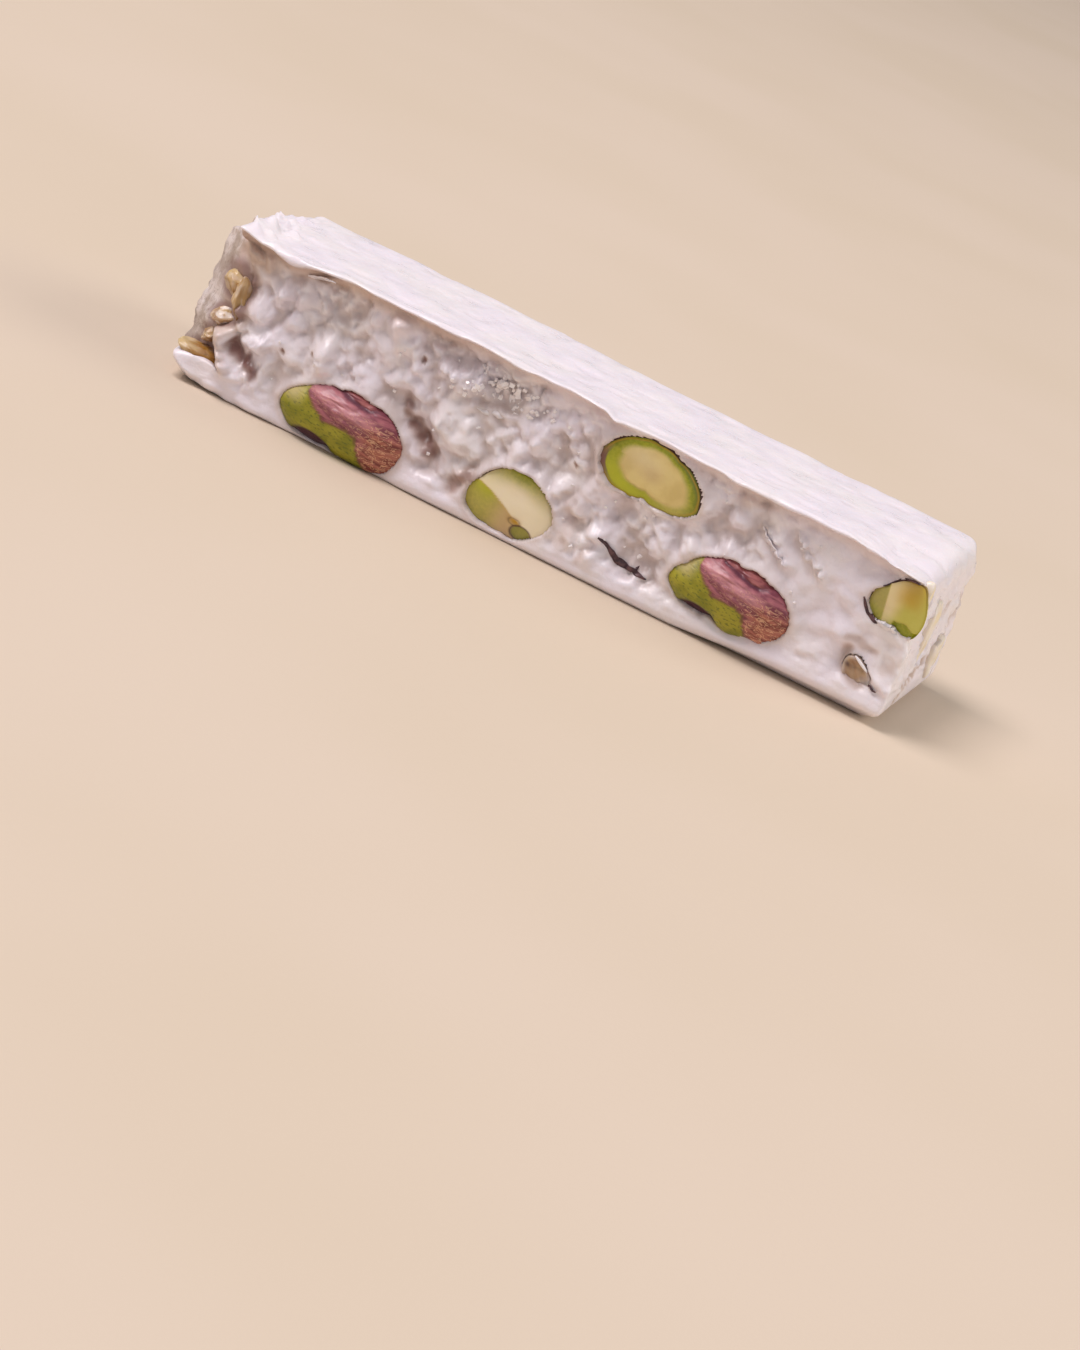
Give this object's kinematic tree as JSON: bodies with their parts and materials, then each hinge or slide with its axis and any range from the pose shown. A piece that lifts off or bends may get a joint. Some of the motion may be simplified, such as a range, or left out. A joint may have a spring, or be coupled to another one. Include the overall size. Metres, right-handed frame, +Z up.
{
  "type": "nougat bar",
  "caption": "Stick of soft white nougat sawn from a slab, with pistachio kernels showing in its sides and ends, lying flat.",
  "frame": {"origin": "on the flat underside, below the middle of the bar", "axes": "+X along the bar to its sawn end, -Y out of the long side seen in the picture, +Z up"},
  "size_m": [0.0994, 0.0326, 0.0209],
  "materials": {
    "nougat": "soft satin, crumbly where sawn",
    "cut_kernel": "satin",
    "kernel_in_its_skin": "satin, wrinkled",
    "pale_kernel": "satin",
    "kernel_skin": "satin, papery"
  },
  "bodies": {
    "root": {"nougat": "nougat", "kernel_split": "cut_kernel", "kernel_halved": "cut_kernel", "kernel_right_rear": "cut_kernel", "kernel_back_1": "cut_kernel", "kernel_back_3": "cut_kernel", "kernel_back_4": "cut_kernel", "kernel_back_5": "cut_kernel", "kernel_whole_left": "kernel_in_its_skin", "kernel_whole_right": "kernel_in_its_skin", "kernel_peeking": "kernel_in_its_skin", "kernel_back_2": "kernel_in_its_skin", "kernel_corner": "pale_kernel", "kernel_left_upper": "pale_kernel", "kernel_left_lower": "pale_kernel", "kernel_left_foot": "pale_kernel", "kernel_right_middle": "pale_kernel", "skin_sliver": "kernel_skin"}
  },
  "joints": []
}
